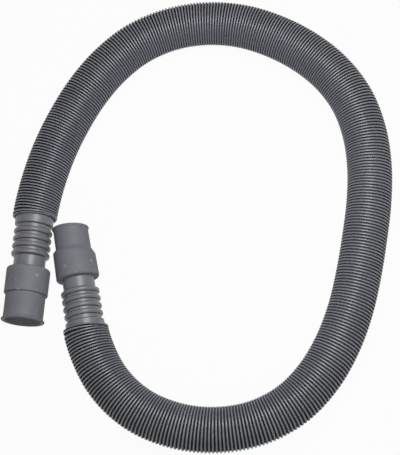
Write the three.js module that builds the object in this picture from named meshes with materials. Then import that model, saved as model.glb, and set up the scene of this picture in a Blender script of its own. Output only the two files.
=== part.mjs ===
// Washing machine drain hose, in millimetres, lying in one loop on a flat surface.
// A long corrugated hose has a moulded cuff pushed into each end: one with a wide mouth
// that slips over the machine's outlet, and one with a narrow mouth for the waste pipe.
// The fine ribs of the hose are left smooth here: its wall is as thick as they are deep.
import * as THREE from 'three';

// Hose
const hoseDiameter = 40; // over the ribs
const hoseWall = 2.4; // from the ribs' tops to the bore
const hoseSides = 24;
const hoseStep = 11.5; // length of one flat facet along the hose

// The stem that both cuffs share: a spigot inside the hose, a plain band, rings and a neck
const stemClearance = 0.25; // between the stem and the inside of the hose
const spigotLength = 12; // hidden inside the hose
const spigotTaper = 1.4; // it thins towards its end, because the hose begins to bend at its edge
const bandLength = 8; // from the hose's edge to the first groove, on the wide cuff
const ringCount = 4;
const ringPitch = 6.85;
const ringWidth = 4.4;
const ringDepth = 1.9; // of the grooves between the rings
const firstRing = 13.6; // from the hose's edge to the middle of the first ring
const neckDepth = 3; // how far the neck lies below the rings
const neckWall = 2.4;
const shoulder = 46.9; // from the hose's edge to the collar's shoulder
const socketFloor = 2.6; // between the shoulder and the bottom of the mouth's socket

// Wide cuff
const wideCollarDiameter = 38.9;
const wideCollarLength = 23.8;
const wideCollarRound = 2.3;
const wideStep = 0.7; // chamfer where the collar steps down to the mouth
const wideMouthInset = 1.7; // how far the mouth lies below the collar
const wideMouthLength = 24.2; // from the collar to the end of the lip
const wideMouthWall = 2.05;
const wideLipRise = 1.55; // how far the lip stands out from the mouth
const wideLipWidth = 1.6;
const wideLipFlare = 2.1; // length of the hollow curve that leads out to the lip

// Narrow cuff
const narrowSetback = 2; // it sits this much deeper in the hose than the wide cuff
const narrowCollarDiameter = 38.2; // at its shoulder
const narrowCollarTaper = 0.5; // how much further in the collar lies where the slope begins
const narrowCollarLength = 23.7;
const narrowCollarRound = 2.2;
const narrowSlope = 4.2; // length of the slope from the collar to the mouth
const narrowMouthInset = 3.6; // how far the mouth, just behind its lip, lies below the collar
const narrowMouthTaper = 0.15; // how much further out the mouth lies at the foot of the slope
const narrowMouthLength = 20.7; // from the slope to the end of the lip
const narrowMouthWall = 2.1;
const narrowLipRise = 0.7; // how far the lip stands out from the mouth
const narrowLipFlare = 3.6; // from where the mouth begins to widen to the widest place of the lip
const narrowLipRound = 1.6; // rounding from the widest place to the end face

// Where the hose leaves the wide cuff, and which way, in degrees from +X
const wideEnd = { x: -146.4, y: 0, heading: 86.2 };

// The narrow mouth lies beside the wide cuff's stem, all but touching it
const narrowHeading = 280.9; // which way the hose leaves the narrow cuff
const besideStem = 8; // from the wide end of the hose to the level of the narrow lip
const besideGap = 0.3;

const straightLead = 5; // the hose leaves each cuff straight for this length

// The loop between the straight ends, from the wide cuff to the narrow one, as X and Y
const loop = [
  [-141.0, 32.2], [-131.9, 63.5], [-119.3, 93.4], [-103.6, 121.8], [-83.8, 147.4],
  [-59.0, 168.7], [-29.3, 182.5], [2.8, 187.9], [35.5, 185.3], [66.5, 175.0],
  [95.0, 158.9], [119.4, 137.5], [137.8, 110.4], [148.3, 79.3], [152.2, 46.7],
  [151.2, 13.9], [147.1, -18.6], [141.7, -50.9], [134.3, -82.8], [123.0, -113.6],
  [106.8, -142.0], [84.3, -166.0], [55.5, -182.0], [23.3, -188.7], [-9.3, -186.8],
  [-40.2, -176.5], [-61.7, -161.9], [-77.5, -144.2], [-88.4, -124.4],
];

const cuffSides = 32;
const roundSteps = 4; // facets in each rounded edge

// Radii worked out from the sizes above
const hoseRadius = hoseDiameter / 2;
const hoseBore = hoseRadius - hoseWall; // at the corners of its many-sided section
const stem = hoseBore * Math.cos(Math.PI / hoseSides) - stemClearance;
const groove = stem - ringDepth;
const neck = stem - neckDepth;
const stemBore = neck - neckWall;
const wideCollar = wideCollarDiameter / 2;
const wideMouth = wideCollar - wideMouthInset;
const wideLip = wideMouth + wideLipRise;
const narrowCollar = narrowCollarDiameter / 2;
const narrowMouth = narrowCollar - narrowMouthInset;
const narrowLip = narrowMouth + narrowLipRise;

// The fattest part rests on the surface, and every centre lies as high as its own
const axisHeight = Math.max(hoseRadius, wideCollar, wideLip, narrowCollar);

// Places along each cuff, from the hose's edge towards the mouth
const wideStepAt = shoulder + wideCollarLength;
const wideReach = wideStepAt + wideMouthLength;
const narrowShoulder = shoulder - narrowSetback;
const narrowSlopeAt = narrowShoulder + narrowCollarLength;
const narrowFoot = narrowSlopeAt + narrowSlope;
const narrowReach = narrowFoot + narrowMouthLength;

const plastic = (color, roughness) => new THREE.MeshStandardMaterial({ color, roughness, metalness: 0 });
const hosePlastic = plastic('#6f7275', 0.45);
const widePlastic = plastic('#666b70', 0.5);
const narrowPlastic = plastic('#6c7075', 0.5);

const direction = (degrees) => {
  const angle = THREE.MathUtils.degToRad(degrees);
  return new THREE.Vector3(Math.cos(angle), Math.sin(angle), 0);
};
const seat = (end) => new THREE.Vector3(end.x, end.y, axisHeight);

// The narrow end of the hose, found from its lip: the lip stands off the wide stem by the gap,
// and the hose's edge lies one cuff's length behind it
function findNarrowEnd() {
  const turn = THREE.MathUtils.degToRad(narrowHeading - wideEnd.heading);
  const aside = stem + besideGap + narrowLip * Math.abs(Math.cos(turn));
  const edge = seat(wideEnd)
    .addScaledVector(direction(wideEnd.heading), -besideStem)
    .addScaledVector(direction(wideEnd.heading - 90), aside)
    .addScaledVector(direction(narrowHeading), narrowReach - narrowLipRound);
  return { x: edge.x, y: edge.y, heading: narrowHeading };
}
const narrowEnd = findNarrowEnd();

// Points of an arc in a cuff's section, each as radius from the axis and distance along it.
// Angles are in degrees: 0 points away from the axis and 90 towards the mouth.
function arc(radius, along, size, from, to) {
  return Array.from({ length: roundSteps + 1 }, (_, i) => {
    const angle = THREE.MathUtils.degToRad(from + ((to - from) * i) / roundSteps);
    return [radius + size * Math.cos(angle), along + size * Math.sin(angle)];
  });
}

// One rounded ring: it rises from the groove, swells to the stem's radius and falls back
function ring(middle) {
  return Array.from({ length: roundSteps + 1 }, (_, i) => {
    const angle = (Math.PI * i) / roundSteps;
    return [groove + ringDepth * Math.sin(angle), middle - (ringWidth / 2) * Math.cos(angle)];
  });
}

// Outside of the stem, from the spigot's end to the shoulder. The hose's edge is at 0.
function stemOutside(setback) {
  const rings = Array.from({ length: ringCount }, (_, i) => ring(firstRing + i * ringPitch)).flat();
  const [, lastEdge] = rings[rings.length - 1];
  const points = [
    [stem, bandLength - ringDepth / 2],
    [groove, bandLength],
    ...rings,
    [neck, lastEdge + (groove - neck) / 2],
    [neck, shoulder],
  ];
  return [
    [stem - spigotTaper, -spigotLength],
    [stem, 0],
    ...points.map(([radius, along]) => [radius, along - setback]),
  ];
}

// Outside of the wide cuff beyond the shoulder, ending on the outer edge of its end face
function wideOutside() {
  const bead = wideLipWidth / 2;
  const flareEnd = wideReach - wideLipWidth;
  return [
    ...arc(wideCollar - wideCollarRound, shoulder + wideCollarRound, wideCollarRound, -90, 0),
    [wideCollar, wideStepAt - wideStep],
    [wideCollar - wideStep, wideStepAt],
    [wideMouth, wideStepAt],
    [wideMouth, flareEnd - wideLipFlare],
    [wideMouth + wideLipRise / 4, flareEnd - wideLipFlare / 3],
    ...arc(wideLip - bead, wideReach - bead, bead, -60, 90),
  ];
}

// Outside of the narrow cuff beyond the shoulder, ending on the outer edge of its end face
function narrowOutside() {
  const round = narrowCollarRound;
  const lipRound = narrowLipRound;
  return [
    ...arc(narrowCollar - round, narrowShoulder + round, round, -90, 0),
    [narrowCollar - narrowCollarTaper, narrowSlopeAt],
    [narrowMouth + narrowMouthTaper, narrowFoot],
    [narrowMouth, narrowReach - lipRound - narrowLipFlare],
    ...arc(narrowLip - lipRound, narrowReach - lipRound, lipRound, -40, 90),
  ];
}

// A cuff's outline is its outside and then its stepped bore, closed on itself
function cuff(name, material, outside, socket, floor, reach) {
  const bore = [
    [socket, reach],
    [socket, floor],
    [stemBore, floor - (socket - stemBore) / 2],
    [stemBore, -spigotLength],
  ];
  const outline = [...outside, ...bore, outside[0]].map(([radius, along]) => new THREE.Vector2(radius, along));
  const mesh = new THREE.Mesh(new THREE.LatheGeometry(outline, cuffSides), material);
  mesh.name = name;
  return mesh;
}

function wideCuff() {
  const outside = [...stemOutside(0), ...wideOutside()];
  const socket = wideMouth - wideMouthWall;
  return cuff('wide_mouth_cuff', widePlastic, outside, socket, shoulder + socketFloor, wideReach);
}

function narrowCuff() {
  const outside = [...stemOutside(narrowSetback), ...narrowOutside()];
  const socket = narrowMouth - narrowMouthWall;
  return cuff('narrow_mouth_cuff', narrowPlastic, outside, socket, narrowShoulder + socketFloor, narrowReach);
}

// A cuff is turned about Y, so Y is laid along the line of the hose's end, out of the hose
function place(mesh, end) {
  mesh.position.copy(seat(end));
  mesh.rotation.z = THREE.MathUtils.degToRad(end.heading + 90);
  return mesh;
}

// The hose's line of centres, straight out of each cuff and a smooth curve between
function hoseLine() {
  const lead = (end) => seat(end).addScaledVector(direction(end.heading), straightLead);
  const middle = loop.map(([x, y]) => new THREE.Vector3(x, y, axisHeight));
  const points = [seat(wideEnd), lead(wideEnd), ...middle, lead(narrowEnd), seat(narrowEnd)];
  const line = new THREE.CatmullRomCurve3(points, false, 'centripetal');
  line.arcLengthDivisions = 3000;
  return line;
}

// Corners of the hose's section: the first is straight up or down, and so is the one opposite
function circle(radius) {
  return Array.from({ length: hoseSides }, (_, i) => {
    const angle = (2 * Math.PI * i) / hoseSides;
    return new THREE.Vector2(radius * Math.cos(angle), radius * Math.sin(angle));
  });
}

function hose() {
  const line = hoseLine();
  const section = new THREE.Shape(circle(hoseRadius));
  section.holes.push(new THREE.Path(circle(hoseBore)));
  const geometry = new THREE.ExtrudeGeometry(section, {
    extrudePath: line,
    steps: Math.round(line.getLength() / hoseStep),
    curveSegments: 1,
  });
  const mesh = new THREE.Mesh(geometry, hosePlastic);
  mesh.name = 'corrugated_hose';
  return mesh;
}

const drainHose = new THREE.Group();
drainHose.add(hose(), place(wideCuff(), wideEnd), place(narrowCuff(), narrowEnd));

export default drainHose;
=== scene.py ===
# %% [markdown]
# # A washing machine drain hose
# The real object is a long ribbed plastic hose that lies in one loop, with a moulded cuff pushed
# into each end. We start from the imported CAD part: its hose is a smooth tube and its cuffs have
# coarse facets. Here the hose gets its fine spiral rib, the cuffs get their true roundings, and
# all three get plastics that look like the ones in the photograph.

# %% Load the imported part
import math

import bpy
import numpy as np
from mathutils import Matrix, Vector


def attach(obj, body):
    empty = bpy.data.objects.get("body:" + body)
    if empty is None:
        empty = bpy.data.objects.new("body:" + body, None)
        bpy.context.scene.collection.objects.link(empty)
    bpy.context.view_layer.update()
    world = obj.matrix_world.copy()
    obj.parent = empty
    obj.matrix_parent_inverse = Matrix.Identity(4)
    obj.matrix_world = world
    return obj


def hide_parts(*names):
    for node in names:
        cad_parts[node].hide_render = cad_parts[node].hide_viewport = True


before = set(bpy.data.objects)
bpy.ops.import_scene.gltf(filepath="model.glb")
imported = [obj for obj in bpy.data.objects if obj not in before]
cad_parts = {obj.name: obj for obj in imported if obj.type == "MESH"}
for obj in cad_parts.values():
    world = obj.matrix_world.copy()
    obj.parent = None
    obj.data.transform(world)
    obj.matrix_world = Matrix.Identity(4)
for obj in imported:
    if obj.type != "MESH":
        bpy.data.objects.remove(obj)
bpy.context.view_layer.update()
bpy.context.scene.view_settings.view_transform = "Standard"
mm = 0.001
print("nodes:", sorted(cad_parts))

# %% [markdown]
# ## Camera
# The photographer stood over the loop, a little towards its lower end, so the nearer end of the
# hose looks a little thicker. The place and the tilts below were fitted to the tilt of the ribs
# and to the hose's width round the loop. A long lens keeps the loop from looking stretched.

# %% The photograph's camera
camera_data = bpy.data.cameras.new("photo_camera")
camera_data.sensor_width = 36
camera_data.lens = 126.6
camera_data.clip_start = 0.05
camera = bpy.data.objects.new("photo_camera", camera_data)
camera.location = (98.9 * mm, -416.8 * mm, 1376.1 * mm)
camera.rotation_euler = [math.radians(a) for a in (16.8, 3.75, 1.13)]
bpy.context.scene.collection.objects.link(camera)
bpy.context.scene.camera = camera
print("camera at", [round(v, 3) for v in camera.location])

# %% [markdown]
# ## The line that the hose follows
# A hose is a fixed length of something flexible, so its middle line comes first. These are the
# same points that the CAD part uses: straight out of the wide cuff, once round the loop, and
# straight into the narrow cuff. A smooth curve goes through all of them. The distance walked
# along it is noted at every point, so that a length along the curve is a real length of hose.

# %% Places and sizes of the hose
axis_height = 20 * mm
wide_seat = Vector((-146.4 * mm, 0, axis_height))
wide_heading = 86.2
narrow_seat = Vector((-96.456 * mm, -100.423 * mm, axis_height))
narrow_heading = 280.9
straight_lead = 5 * mm
# Points of the middle line round the loop, in mm
loop = [
    (-141.0, 32.2), (-131.9, 63.5), (-119.3, 93.4), (-103.6, 121.8), (-83.8, 147.4),
    (-59.0, 168.7), (-29.3, 182.5), (2.8, 187.9), (35.5, 185.3), (66.5, 175.0),
    (95.0, 158.9), (119.4, 137.5), (137.8, 110.4), (148.3, 79.3), (152.2, 46.7),
    (151.2, 13.9), (147.1, -18.6), (141.7, -50.9), (134.3, -82.8), (123.0, -113.6),
    (106.8, -142.0), (84.3, -166.0), (55.5, -182.0), (23.3, -188.7), (-9.3, -186.8),
    (-40.2, -176.5), (-61.7, -161.9), (-77.5, -144.2), (-88.4, -124.4),
]


def direction(degrees):
    """A level step of length 1, at an angle counted from +X towards +Y."""
    angle = math.radians(degrees)
    return Vector((math.cos(angle), math.sin(angle), 0))


route = [wide_seat, wide_seat + direction(wide_heading) * straight_lead]
route += [Vector((x * mm, y * mm, axis_height)) for x, y in loop]
route += [narrow_seat + direction(narrow_heading) * straight_lead, narrow_seat]
print("route points:", len(route))


# %% A smooth curve through the route
def smooth_curve(points, steps=60):
    """Points of a centripetal Catmull-Rom curve, the kind that never makes a loop between two points."""
    p = np.array([tuple(q) for q in points])
    p = np.vstack([2 * p[0] - p[1], p, 2 * p[-1] - p[-2]])
    curve = []
    for a, b, c, d in zip(p, p[1:], p[2:], p[3:]):
        before, between, after = [math.sqrt(np.linalg.norm(v)) for v in (b - a, c - b, d - c)]
        leave = ((b - a) / before - (c - a) / (before + between)) * between + (c - b)
        arrive = (c - b) - ((d - b) / (between + after) - (d - c) / after) * between
        for t in np.arange(steps) / steps:
            curve.append(b + leave * t + (3 * (c - b) - 2 * leave - arrive) * t**2
                         + (2 * (b - c) + leave + arrive) * t**3)
    curve.append(p[-2])
    return np.array(curve)


line = smooth_curve(route)
line_reach = np.concatenate([[0], np.cumsum(np.linalg.norm(np.diff(line, axis=0), axis=1))])
hose_length = float(line_reach[-1])
line_steps = np.gradient(line, axis=0)
line_heading = np.unwrap(np.arctan2(line_steps[:, 1], line_steps[:, 0]))
print("the hose is", round(hose_length, 4), "m long")


# %% [markdown]
# ## The ribbed hose
# This kind of hose is wound from one narrow strip, so its ribs are a single spiral, about 350
# turns of it. The mesh is wound in the same way: each row of points follows one line of the
# rib's outline round and round the hose. The outline is a flat dark groove and a rounded rib.
# Where the hose bends, the ribs on the inner side are pushed together, so the groove there is
# shallower. An array along a curve would give separate rings and not a spiral, so the points
# are worked out here.

# %% Sizes of the rib
hose_radius = 20 * mm
hose_bore = 17.6 * mm
rib_depth = 1.45 * mm
sides = 48
bore_rows = 110
# The rib's outline over one turn: how far along the turn, how far below the crest, as shares
rib_outline = [(0.00, 1.00), (0.35, 1.00), (0.45, 0.13), (0.66, 0.00), (0.88, 0.14)]
# Distances from the wide cuff and the width of one turn there, in mm, measured on the photograph
turn_widths = [
    (0, 2.62), (100, 2.60), (140, 2.68), (215, 2.66), (250, 2.52), (400, 2.55), (440, 2.75),
    (590, 2.75), (650, 2.80), (725, 2.90), (765, 2.90), (865, 2.85), (900, 2.75), (950, 2.70),
]


# %% Sizes of the ends and of the inner side of a bend
# At each end a plain band is left, then the groove starts. The outer edge is rounded
end_band = 0.8 * mm
groove_start = 0.8 * mm
edge_round = 0.7 * mm
# The inner side: cosine of the angle round the hose where it begins, and how far on it is full
inner_from = 0.1
inner_reach = 0.75
# How far the ribs are closed there on a straight stretch, what each 1/m of bend adds, and the most
closed_straight = 0.45
closed_by_bend = 1 / 14
closed_most = 0.95
# The share of the groove's depth that is lost where the ribs are fully closed
shallower = 0.55
# Metres along the hose where the grooves' painted shade begins to pale, is palest, begins to darken again
# and is full again
paling_stretch = (0.42, 0.50, 0.62, 0.76)


# %% Where each turn of the rib lies
fine_reach = np.linspace(0, hose_length, 4001)
fine_width = np.interp(fine_reach, *(np.array(turn_widths).T * mm))
fine_turns = np.concatenate([[0], np.cumsum(np.diff(fine_reach) / fine_width[1:])])
turns = int(round(fine_turns[-1]))
fine_turns *= turns / fine_turns[-1]
print("turns of the rib:", turns)


# %% Points round the hose
def round_the_hose(reach, angle, radius):
    """Points at a distance along the line, an angle round it and a radius. Angle 0 is into the loop."""
    centre = np.stack([np.interp(reach, line_reach, line[:, i]) for i in range(3)], axis=-1)
    heading = np.interp(reach, line_reach, line_heading)
    side = np.stack([np.sin(heading), -np.cos(heading), np.zeros_like(heading)], axis=-1)
    across = np.cos(angle)[..., None] * side
    return centre + radius[..., None] * (across + np.sin(angle)[..., None] * np.array([0, 0, 1]))


# %% The spiral rib
share, below = np.array(rib_outline).T
turn, angle_step, point = np.meshgrid(
    np.arange(-1, turns + 2), np.arange(sides), np.arange(len(rib_outline)), indexing="ij")
angle = 2 * np.pi * angle_step / sides
place = turn + angle_step / sides + share[point]
reach = np.interp(place, fine_turns, fine_reach)
from_end = np.minimum(reach, hose_length - reach)
bend = np.interp(reach, line_reach, np.abs(np.gradient(line_heading, line_reach)))
inner = np.clip((np.cos(angle) - inner_from) / inner_reach, 0, 1)
closed = inner**1.5 * np.clip(closed_straight + bend * closed_by_bend, 0, closed_most)
started = np.clip((from_end - end_band) / groove_start, 0, 1)
groove = below[point] * started * (1 - shallower * closed)
# How much paler the grooves' painted shade is along the hose
paler_grooves = np.interp(reach, paling_stretch, (0, 1, 1, 0))
rounding = edge_round * np.clip(1 - from_end / edge_round, 0, 1) ** 2
outside = round_the_hose(reach, angle, hose_radius - rib_depth * groove - rounding)
print("points on the rib:", outside.reshape(-1, 3).shape[0])


# %% Faces between neighbouring rows
def in_rows(grid):
    """Turns, angles and outline points, sorted into rows that each follow one line of the rib."""
    return np.swapaxes(grid, 1, 2).reshape(-1, sides, *grid.shape[3:])


def row_faces(rows, columns, shift):
    """Quads of a grid that closes on itself: the last column meets the first one, shift rows on."""
    row, column = np.meshgrid(np.arange(rows - 1 - shift), np.arange(columns), indexing="ij")
    row, column = row.ravel(), column.ravel()
    right = np.where(column + 1 < columns, row * columns + column + 1, (row + shift) * columns)
    return np.stack([row * columns + column, right, right + columns, (row + 1) * columns + column], axis=-1)


outside_rows = in_rows(outside)
outside_faces = row_faces(len(outside_rows), sides, len(rib_outline))

bore_reach, bore_angle = np.meshgrid(
    np.linspace(0, hose_length, bore_rows), 2 * np.pi * np.arange(sides) / sides, indexing="ij")
inside = round_the_hose(bore_reach, bore_angle, np.full_like(bore_reach, hose_bore))
inside_faces = row_faces(bore_rows, sides, 0)[:, ::-1]
print("faces outside:", len(outside_faces), "and inside:", len(inside_faces))

# %% Join them into one hose
outside_points = outside_rows.reshape(-1, 3)
hose_points = np.vstack([outside_points, inside.reshape(-1, 3)])
hose_faces = np.vstack([outside_faces, inside_faces + len(outside_points)])
hose_mesh = bpy.data.meshes.new("ribbed_hose")
hose_mesh.from_pydata(hose_points.tolist(), [], hose_faces.tolist())
# The bore counts as groove, so it gets the grooves' painted shade and is dull
for label, on_rib, in_bore in (("groove", groove, 0.5), ("pressed", closed, 0), ("paler_grooves", paler_grooves, 0)):
    attribute = hose_mesh.attributes.new(label, "FLOAT", "POINT")
    values = np.concatenate([in_rows(on_rib).ravel(), np.full(bore_reach.size, float(in_bore))])
    attribute.data.foreach_set("value", values)
ribbed_hose = bpy.data.objects.new("ribbed_hose", hose_mesh)
bpy.context.scene.collection.objects.link(ribbed_hose)
print("points of the hose:", len(hose_points))


# %% [markdown]
# The spiral starts and ends one turn beyond the hose, and all of that was pressed flat against the
# cut. Merging those points leaves one clean ring at each end, which is bridged to the bore, so
# the hose is a closed tube with a wall. All its faces are then turned outwards.

# %% Helpers for selecting and counting
def deselect_all():
    """Leave edit mode, with nothing selected."""
    if bpy.context.object and bpy.context.object.mode != "OBJECT":
        bpy.ops.object.mode_set(mode="OBJECT")
    bpy.ops.object.select_all(action="DESELECT")


def pick(obj):
    """Make obj the only selected object, and the active one."""
    deselect_all()
    obj.select_set(True)
    bpy.context.view_layer.objects.active = obj


def triangles(obj):
    """The number of triangles in a piece's mesh."""
    obj.data.calc_loop_triangles()
    return len(obj.data.loop_triangles)


# %% Close the two cut ends
same_point = 0.005 * mm
near_an_end = 30 * mm
pick(ribbed_hose)
bpy.ops.object.mode_set(mode="EDIT")
bpy.ops.mesh.select_all(action="SELECT")
bpy.ops.mesh.remove_doubles(threshold=same_point)
bpy.ops.mesh.dissolve_degenerate(threshold=same_point)
for seat in (wide_seat, narrow_seat):
    bpy.ops.mesh.select_all(action="DESELECT")
    bpy.ops.object.mode_set(mode="OBJECT")
    faces_at = {}
    for polygon in ribbed_hose.data.polygons:
        for key in polygon.edge_keys:
            faces_at[key] = faces_at.get(key, 0) + 1
    for edge in ribbed_hose.data.edges:
        near = (ribbed_hose.data.vertices[edge.vertices[0]].co - seat).length < near_an_end
        edge.select = near and faces_at.get(edge.key, 0) == 1
    bpy.ops.object.mode_set(mode="EDIT")
    bpy.ops.mesh.select_mode(type="EDGE")
    bpy.ops.mesh.bridge_edge_loops()
bpy.ops.mesh.select_all(action="SELECT")
bpy.ops.mesh.normals_make_consistent(inside=False)
bpy.ops.object.mode_set(mode="OBJECT")
pick(ribbed_hose)
bpy.ops.object.shade_smooth_by_angle(angle=math.radians(50))
print("hose triangles:", triangles(ribbed_hose))

# %% [markdown]
# ## The two cuffs
# Each cuff is one moulding: a ringed stem that grips the inside of the hose, a neck, a thick
# collar and a mouth. It is round nearly everywhere, so it is turned as on a lathe: one point is
# pushed out along the outline with extrude, and the outline is spun round the axis. Distances
# along a cuff are counted from the end of the hose.

# %% Sizes of the cuffs
stem = 17.2 * mm
groove_radius = 15.3 * mm
neck = 14.2 * mm
stem_bore = 11.8 * mm
spigot = 12 * mm
ring_pitch = 6.85 * mm
ring_width = 4.4 * mm
first_ring = 13.6 * mm
band = 8 * mm
shoulder = 46.9 * mm
# The narrow cuff sits this much deeper in its hose
narrow_setback = 2 * mm
# How far each mouth reaches, the radius of its socket and how far out the socket's floor is
wide_reach, narrow_reach = 94.9 * mm, 93.5 * mm
wide_socket, narrow_socket = 15.7 * mm, 13.4 * mm
wide_floor, narrow_floor = 49.5 * mm, 47.5 * mm


def arc(radius, at, size, start, end, steps=6):
    """Outline points on an arc: start and end are in degrees, 0 away from the axis, 90 towards the mouth."""
    angles = [math.radians(start + (end - start) * i / steps) for i in range(steps + 1)]
    return [(radius + size * math.cos(a), at + size * math.sin(a)) for a in angles]


# %% Outline of one ring
ring_middles = [first_ring + i * ring_pitch for i in range(4)]
half_steps = (0.3, 0.58, 0.76, 0.88, 0.96, 1, 1.08, 1.25)
ring_steps = [-t for t in half_steps[::-1]] + [0] + list(half_steps)


def ring_outline(middle):
    """A ring with steep sides and a round top. Its feet are at the steps -1 and 1."""
    heights = [max(0, 1 - abs(t) ** 2.6) ** 0.55 for t in ring_steps]
    rise = stem - groove_radius
    return [(groove_radius + rise * h, middle + ring_width / 2 * t) for h, t in zip(heights, ring_steps)]


print("rings at", [round(middle / mm, 2) for middle in ring_middles], "mm from the hose")


# %% Outline of the ringed stem
def stem_outline(setback):
    """The outside of the stem, from inside the hose to the neck: radius, distance from the hose."""
    taper, corner = 1.3 * mm, 0.5 * mm
    in_the_hose = [
        (stem_bore + 0.3 * mm, -spigot), (stem - taper - 0.3 * mm, -spigot),
        (stem - taper, -spigot + 0.6 * mm), (stem, 0), (stem, setback)]
    points = arc(stem - corner, band - 0.6 * mm - corner, corner, 0, 60, 4)
    points += [(groove_radius + 0.25 * mm, band - 0.1 * mm), (groove_radius, band + 0.2 * mm)]
    for middle in ring_middles:
        points += ring_outline(middle)
    # The last ring drops straight to the neck
    points = points[:-2]
    last = points[-1][1]
    points += [
        (neck + 0.35 * mm, last + 0.35 * mm), (neck, last + 0.9 * mm), (neck, shoulder - 0.5 * mm)]
    return in_the_hose + [(radius, at - setback) for radius, at in points]


# %% [markdown]
# Beyond the neck the two cuffs differ. The wide one has a collar with a rounded shoulder, a small
# step and a mouth that flares into a thin lip. The narrow one slopes down to a plain mouth
# with a small bead at its end.

# %% Outline of each cuff beyond the neck
def wide_outline():
    """Shoulder, collar, a step down to the mouth, its flare and its lip."""
    collar, collar_end, mouth, lip = 19.45 * mm, 70.7 * mm, 17.75 * mm, 19.3 * mm
    rounding, corner, bead = 2.3 * mm, 0.6 * mm, 0.8 * mm
    flare_length, flare_rise = 2.3 * mm, 1.1 * mm
    points = [(neck + 0.25 * mm, shoulder - 0.08 * mm), (neck + 0.7 * mm, shoulder)]
    points += arc(collar - rounding, shoulder + rounding, rounding, -90, 0, 10)
    points += arc(collar - corner, collar_end - corner, corner, 0, 90, 5)
    points += [
        (mouth + 0.3 * mm, collar_end), (mouth + 0.08 * mm, collar_end + 0.1 * mm),
        (mouth, collar_end + 0.3 * mm)]
    flare = wide_reach - 2 * bead - 2.1 * mm
    for t in (0, 0.2, 0.4, 0.6, 0.8, 1):
        points.append((mouth + flare_rise * t**2.2, flare + flare_length * t))
    return points + arc(lip - bead, wide_reach - bead, bead, -40, 90, 8)


def narrow_outline():
    """Shoulder, collar, a slope down to the mouth, and the bead at its end."""
    start = shoulder - narrow_setback
    collar, slope, foot = 19.1 * mm, start + 23.7 * mm, start + 27.9 * mm
    mouth, lip = 15.5 * mm, 16.35 * mm
    rounding, corner, bead = 2.2 * mm, 0.5 * mm, 1.4 * mm
    widening_length, widening = 2.2 * mm, 0.12 * mm
    points = [(neck + 0.25 * mm, start - 0.08 * mm), (neck + 0.7 * mm, start)]
    points += arc(collar - rounding, start + rounding, rounding, -90, 0, 10)
    points += arc(collar - 2 * corner, slope - 0.3 * mm, corner, 0, 40, 4)
    points += [
        (mouth + 0.85 * mm, foot - 0.8 * mm), (mouth + 0.4 * mm, foot - 0.2 * mm),
        (mouth + 0.15 * mm, foot + 0.6 * mm)]
    widens = narrow_reach - 2 * bead - widening_length
    for t in (0, 0.25, 0.5, 0.75, 1):
        points.append((mouth + widening * t**1.8, widens + widening_length * t))
    return points + arc(lip - bead, narrow_reach - bead, bead, -60, 90, 10)


# %% Outline of a cuff's bore
def bore_outline(socket, floor, reach):
    """From the mouth's end face inwards: a small lead-in, the socket, its floor and the stem's bore."""
    lead_in = [
        (socket + 0.5 * mm, reach), (socket + 0.12 * mm, reach - 0.15 * mm), (socket, reach - 0.6 * mm)]
    socket_floor = [
        (socket, floor + 1.2 * mm), (socket - 0.35 * mm, floor + 0.35 * mm), (socket - 1.2 * mm, floor)]
    into_stem = [(stem_bore + 0.6 * mm, floor - 0.2 * mm), (stem_bore, floor - 0.8 * mm)]
    return lead_in + socket_floor + into_stem + [(stem_bore, -spigot + 0.3 * mm)]


# %% [markdown]
# Smooth shading blends the light from one corner to the next, which would make a long straight
# stretch look swollen. A row of points close to each end of such a stretch keeps it flat.

# %% Points that steady the shading
def steadied(outline, near=0.3 * mm):
    """The outline with a point added close to each end of its long straight stretches."""
    steady = []
    for (r0, a0), (r1, a1) in zip(outline, outline[1:] + outline[:1]):
        steady.append((r0, a0))
        length = math.hypot(r1 - r0, a1 - a0)
        if length > 5 * near:
            for share in (near / length, 1 - near / length):
                steady.append((r0 + (r1 - r0) * share, a0 + (a1 - a0) * share))
    return steady


# %% Turn an outline into a cuff
spin_steps = 96
merge_within = 0.002 * mm


def turned(name, outline):
    """Push one point along the outline with extrude and spin it round Y. Y is along the cuff."""
    deselect_all()
    bpy.ops.mesh.primitive_plane_add(size=1 * mm, location=(0, 0, 0))
    cuff = bpy.context.object
    cuff.name = name
    outline = steadied(outline)
    bpy.ops.object.mode_set(mode="EDIT")
    bpy.ops.mesh.select_mode(type="VERT")
    bpy.ops.mesh.select_all(action="SELECT")
    bpy.ops.mesh.merge(type="CENTER")
    bpy.ops.transform.translate(value=(outline[0][0], outline[0][1], 0))
    for (r0, a0), (r1, a1) in zip(outline, outline[1:] + outline[:1]):
        bpy.ops.mesh.extrude_region_move(TRANSFORM_OT_translate={"value": (r1 - r0, a1 - a0, 0)})
    bpy.ops.mesh.select_all(action="SELECT")
    bpy.ops.mesh.remove_doubles(threshold=merge_within)
    bpy.ops.mesh.spin(steps=spin_steps, angle=2 * math.pi, center=(0, 0, 0), axis=(0, 1, 0))
    bpy.ops.mesh.select_all(action="SELECT")
    bpy.ops.mesh.remove_doubles(threshold=merge_within)
    bpy.ops.mesh.normals_make_consistent(inside=False)
    bpy.ops.object.mode_set(mode="OBJECT")
    bpy.ops.object.shade_smooth_by_angle(angle=math.radians(32))
    print(name, "triangles:", triangles(cuff))
    return cuff


wide_cuff = turned(
    "wide_cuff",
    stem_outline(0) + wide_outline() + bore_outline(wide_socket, wide_floor, wide_reach))
narrow_cuff = turned(
    "narrow_cuff",
    stem_outline(narrow_setback) + narrow_outline()
    + bore_outline(narrow_socket, narrow_floor, narrow_reach))


# %% [markdown]
# The stem came out of the mould polished and the collar and mouth came out matt. A number at
# every point keeps that difference, and one material reads it. A second number marks the
# inside, which is painted paler as painted light, and a third the corners at the foot of each
# ring, which get a thin dark line of painted shade.

# %% Numbers at every point of a cuff
# Width and fade of the thin line of painted shade at the foot of each ring
foot_shade_width = 0.4 * mm
foot_shade_fade = 0.32 * mm
polish_fade = 0.5 * mm
socket_from = 2 * mm
bore_margin = 0.1 * mm


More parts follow.
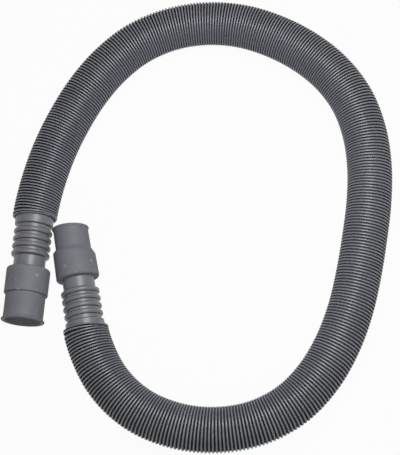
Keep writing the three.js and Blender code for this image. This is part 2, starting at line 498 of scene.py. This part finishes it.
def foot_of_rings(at, setback):
    """1 in the corners on both sides of each ring and of the band, 0 on the crests and between."""
    corners = [middle + side * ring_width / 2 for middle in ring_middles for side in (-1, 1)]
    nearest = np.min([np.abs(at + setback - corner) for corner in [band] + corners], axis=0)
    return np.clip((foot_shade_width - nearest) / foot_shade_fade, 0, 1)


def note_finish(cuff, setback, socket):
    """Give every point its polish, whether it is inside, and how near it is to a ring's foot."""
    points = np.array([v.co for v in cuff.data.vertices])
    radius, at = np.hypot(points[:, 0], points[:, 2]), points[:, 1]
    matt_from = shoulder - setback
    bore = np.where(at > matt_from + socket_from, socket, stem_bore) + bore_margin
    for label, values in (
        ("polish", np.clip((matt_from - at) / polish_fade, 0, 1)),
        ("inside", np.where(radius < bore, 1.0, 0.0)),
        ("foot", foot_of_rings(at, setback)),
    ):
        attribute = cuff.data.attributes.new(label, "FLOAT", "POINT")
        attribute.data.foreach_set("value", values)


note_finish(wide_cuff, 0, wide_socket)
note_finish(narrow_cuff, narrow_setback, narrow_socket)
print("numbers at every point:", [a.name for a in wide_cuff.data.attributes if a.data_type == "FLOAT"])

# %% [markdown]
# The edges of the narrow collar and of its mouth aren't quite square to the cuff: they lie
# further out on the left side. Moving each point along by a share of its distance to the side
# does that. The bore stays straight but for its last millimetre, which follows the end.

# %% Put the narrow cuff's edges askew
slant_outside = 14.6 * mm
slant_end = 84 * mm
# Where along the cuff the slant begins, is greatest and settles, and how large it is there
slant_places = (58 * mm, 68.6 * mm, 72.8 * mm)
slants = (0, 0.134, 0.083)
for vertex in narrow_cuff.data.vertices:
    across, at, up = vertex.co
    if math.hypot(across, up) > slant_outside or at > slant_end:
        vertex.co.y = at - across * float(np.interp(at, slant_places, slants))
print("narrow cuff reaches", round(max(v.co.y for v in narrow_cuff.data.vertices) / mm, 1), "mm")


# %% Lay each cuff along the end of its hose
def lay(cuff, seat, heading):
    """Turn a cuff into its heading and move it to the end of the hose, in its mesh."""
    turn = Matrix.Rotation(math.radians(heading + 90), 4, "Z")
    cuff.data.transform(Matrix.Translation(seat) @ turn)
    print(cuff.name, "laid at", [round(v / mm, 1) for v in seat], "mm")


lay(wide_cuff, wide_seat, wide_heading)
lay(narrow_cuff, narrow_seat, narrow_heading)

# %% [markdown]
# ## Put the new pieces in place of the CAD parts
# The ribbed hose stands for the CAD tube and each turned cuff for its CAD cuff. Each is hung on
# the root body, and the CAD part it stands for is hidden.

# %% Hang the pieces on the root body and hide the CAD parts
for piece, node, slot in (
    (ribbed_hose, "corrugated_hose", "hose_plastic"),
    (wide_cuff, "wide_mouth_cuff", "wide_cuff_plastic"),
    (narrow_cuff, "narrow_mouth_cuff", "narrow_cuff_plastic"),
):
    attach(piece, "root")
    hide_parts(node)


# %% [markdown]
# ## Shader maths
# Materials are recipes of nodes. A small class stands for one output socket and lets us write
# sums as Python does, and one method adds any node from its type, settings and inputs.

# %% A socket that can be added and multiplied
class Wire:
    """An output socket of one of a material's nodes."""

    def __init__(self, recipe, socket):
        self.recipe = recipe
        self.socket = socket

    def maths(self, operation, *values):
        return self.recipe.node("Math", {"operation": operation}, dict(enumerate(values)))

    def __add__(self, other):
        return self.maths("ADD", self, other)

    def __sub__(self, other):
        return self.maths("SUBTRACT", self, other)

    def __rsub__(self, other):
        return self.maths("SUBTRACT", other, self)

    def __mul__(self, other):
        return self.maths("MULTIPLY", self, other)

    __radd__ = __add__
    __rmul__ = __mul__


# %% A recipe is one material
class Recipe:
    """A material and its nodes."""

    def __init__(self, name, **constants):
        self.material = bpy.data.materials.new(name)
        self.material.use_nodes = True
        self.tree = self.material.node_tree
        self.shader = self.tree.nodes["Principled BSDF"]
        for socket, value in constants.items():
            self.shader.inputs[socket.replace("_", " ")].default_value = value

    def node(self, kind, settings, values, output=0):
        """Add a node, set its settings, fill its inputs, and hand back one of its outputs."""
        made = self.tree.nodes.new("ShaderNode" + kind)
        for name, value in settings.items():
            setattr(made, name, value)
        for key, value in values.items():
            self.feed(made.inputs[key], value)
        return Wire(self, made.outputs[output])

    def feed(self, socket, value):
        """Link a wire to an input, or write a plain value into it."""
        if isinstance(value, Wire):
            self.tree.links.new(value.socket, socket)
        else:
            socket.default_value = value

    def finish(self, **inputs):
        """Feed inputs of the surface shader, and hand back the material."""
        for name, value in inputs.items():
            self.feed(self.shader.inputs[name.replace("_", " ")], value)
        return self.material

    def attribute(self, name):
        """A number that the mesh carries at every point."""
        return self.node("Attribute", {"attribute_name": name}, {}, "Fac")

    def bump(self, strength, distance, height):
        """Small hills that only the light sees."""
        return self.node("Bump", {}, {"Strength": strength, "Distance": distance, "Height": height})

    def noise(self, scale, detail):
        """Noise that is fixed to the piece. A larger scale makes it finer."""
        where = self.node("TexCoord", {}, {}, "Object")
        return self.node("TexNoise", {}, {"Vector": where, "Scale": scale, "Detail": detail}, "Fac")

    def blend(self, amount, first, second):
        """The first colour where the amount is 0, the second where it is 1."""
        return self.node("Mix", {"data_type": "RGBA"}, {0: amount, 6: first, 7: second}, 2)

    def between(self, value, low, high):
        """0 where a value is low, 1 where it is high, even steps between."""
        return self.node("MapRange", {}, {"Value": value, "From Min": low, "From Max": high}, 0)


# %% [markdown]
# ## Plastic of the hose
# The rib is a satin grey plastic. The strip between the ribs is duller, and it is painted
# near-black as painted shade, so the ribs show as light lines on near-black. The groove number
# that every point carries drives both the colour and the roughness. On the inner side of a bend,
# where the ribs are pressed together, ribs and grooves are painted darker and bluer as painted
# shade, and along one stretch on the closed side of the loop the grooves' painted shade is
# paler. Slow and fine noise keeps it from looking printed.

# %% Hose material
rib_grey = (0.182, 0.193, 0.214, 1)
rib_grey_worn = (0.240, 0.251, 0.271, 1)
# Painted shade: the ribs on the inner side of a bend are darker and bluer
rib_bend_shade = (0.142, 0.155, 0.184, 1)
# Painted shade: the grooves are painted near-black, paler along one stretch and bluer on the inner side of
# bends
groove_black_shade = (0.006, 0.007, 0.009, 1)
# Painted shade, paler: the groove colour along one stretch of the hose
groove_paler_shade = (0.048, 0.051, 0.058, 1)
groove_bend_shade = (0.039, 0.044, 0.059, 1)

plastic = Recipe("hose_plastic", Specular_IOR_Level=0.55, IOR=1.5)
# Where the inner side of a bend gets its painted shade
bend_shade_mask = plastic.attribute("pressed")
in_groove = plastic.between(plastic.attribute("groove"), 0.18, 0.45)
painted_groove_shade = plastic.blend(plastic.attribute("paler_grooves"), groove_black_shade, groove_paler_shade)
painted_groove_shade = plastic.blend(bend_shade_mask, painted_groove_shade, groove_bend_shade)
mottle = plastic.noise(38, 3)
dust = plastic.noise(420, 2)
wear = plastic.between(mottle * 0.75 + dust * 0.25, 0.36, 0.68)
rib_colour = plastic.blend(wear, rib_grey, rib_grey_worn)
rib_colour = plastic.blend(bend_shade_mask * 0.8, rib_colour, rib_bend_shade)
# Painted shade fills the grooves and the bore; the ribs keep the plastic's own grey
ribbed_hose.data.materials.append(plastic.finish(
    Base_Color=plastic.blend(in_groove, rib_colour, painted_groove_shade),
    Roughness=0.38 + in_groove * 0.55 + (mottle - 0.5) * 0.14,
    Normal=plastic.bump(0.12, 0.05 * mm, plastic.noise(2600, 2))))
print("hose plastic:", len(plastic.tree.nodes), "nodes")

# %% [markdown]
# ## Plastic of the cuffs
# Both cuffs are the same soft blue-grey moulding plastic. The collar and the mouth carry a fine
# matt texture from the mould, with a few small pale nicks from handling. The ringed stem is
# smoother, so it takes a soft highlight, and a coat gives it that.

# %% Cuff materials
nick_grey = (0.40, 0.41, 0.43, 1)
# Painted light: the inside of each cuff is painted paler than the outside
inside_painted_light = (0.380, 0.390, 0.415, 1)
# Painted shade: the thin dark line at the foot of each ring
foot_shade_grey = (0.030, 0.031, 0.036, 1)


def cuff_plastic(name, matt_colour, matt_worn, stem_colour):
    """Matt plastic with a polished stem, nicks on the matt part and painted shade at the foot of the rings.
    """
    plastic = Recipe(name, Specular_IOR_Level=0.3, IOR=1.5, Coat_Roughness=0.33)
    polish = plastic.attribute("polish")
    clouds = plastic.noise(55, 3)
    scuffs = plastic.noise(240, 4)
    wear = plastic.between(clouds * 0.6 + scuffs * 0.4, 0.40, 0.64)
    nicks = plastic.between(plastic.noise(150, 1), 0.71, 0.76)
    matt = plastic.blend(nicks * 0.45, plastic.blend(wear, matt_colour, matt_worn), nick_grey)
    # Painted light on the inside
    clean = plastic.blend(plastic.attribute("inside"), plastic.blend(polish, matt, stem_colour), inside_painted_light)
    return plastic.finish(
        # Painted shade at the foot of each ring
        Base_Color=plastic.blend(plastic.attribute("foot") * 0.85, clean, foot_shade_grey),
        Roughness=0.62 - polish * 0.17 + (scuffs - 0.5) * 0.14,
        Coat_Weight=polish * 0.5,
        Normal=plastic.bump(0.25, 0.06 * mm, plastic.noise(1900, 2) * (1 - polish * 0.75)))


wide_cuff.data.materials.append(cuff_plastic(
    "wide_cuff_plastic", matt_colour=(0.166, 0.174, 0.197, 1), matt_worn=(0.193, 0.200, 0.220, 1),
    stem_colour=(0.182, 0.185, 0.201, 1)))
narrow_cuff.data.materials.append(cuff_plastic(
    "narrow_cuff_plastic", matt_colour=(0.163, 0.170, 0.196, 1), matt_worn=(0.188, 0.194, 0.216, 1),
    stem_colour=(0.180, 0.185, 0.199, 1)))
print("cuff plastics:", wide_cuff.data.materials[0].name, narrow_cuff.data.materials[0].name)

# %% [markdown]
# ## Floor and light
# The photograph is a cut-out on pure white with soft studio light. The bright line along each
# stretch of the loop tells where the main lamp hung: less than a metre over the table, a little
# towards the closed side of the loop. A weaker one stands beyond the lower end and shines into
# the wide mouth. The floor is white to the camera by itself and keeps a faint shadow.

# %% Floor
deselect_all()
bpy.ops.mesh.primitive_circle_add(vertices=128, radius=6, fill_type="NGON", location=(0, 0, 0))
floor = bpy.context.object
floor.name = "floor"

paper = Recipe("floor_paper", Roughness=0.9)
floor.data.materials.append(paper.finish(Base_Color=(0.48, 0.48, 0.48, 1)))
seen = paper.node("LightPath", {}, {}, "Is Camera Ray")
for ray in ("Is Glossy Ray", "Is Transmission Ray"):
    seen = seen.maths("MAXIMUM", seen, paper.node("LightPath", {}, {}, ray))
white = paper.node("Emission", {}, {"Color": (1, 1, 1, 1), "Strength": 1.0})
mixed = paper.node("MixShader", {}, {0: seen * 0.96, 1: Wire(paper, paper.shader.outputs[0]), 2: white})
paper.feed(paper.tree.nodes["Material Output"].inputs["Surface"], mixed)
print("floor paper:", len(paper.tree.nodes), "nodes")

# %% Lamps
def soft_lamp(name, place, target, size, watts):
    """A round soft light that points at a target."""
    data = bpy.data.lights.new(name, "AREA")
    data.shape, data.size, data.energy = "DISK", size, watts
    lamp = bpy.data.objects.new(name, data)
    lamp.location = place
    lamp.rotation_euler = (Vector(target) - Vector(place)).to_track_quat("-Z", "Y").to_euler()
    bpy.context.scene.collection.objects.link(lamp)
    print(name, "at", place, "with", watts, "W")


soft_lamp("key_lamp", place=(0.14, 0.11, 0.80), target=(0.10, 0.05, 0), size=0.5, watts=6.1)
soft_lamp("fill_lamp", place=(-0.10, -0.95, 0.95), target=(-0.05, -0.05, 0), size=0.6, watts=2.3)

# %% Light from all round
world = bpy.data.worlds.new("studio")
bpy.context.scene.world = world
world.use_nodes = True
all_round = world.node_tree.nodes["Background"]
all_round.inputs["Color"].default_value = (1, 1, 1, 1)
all_round.inputs["Strength"].default_value = 0.09
print("light from all round:", round(all_round.inputs["Strength"].default_value, 2))
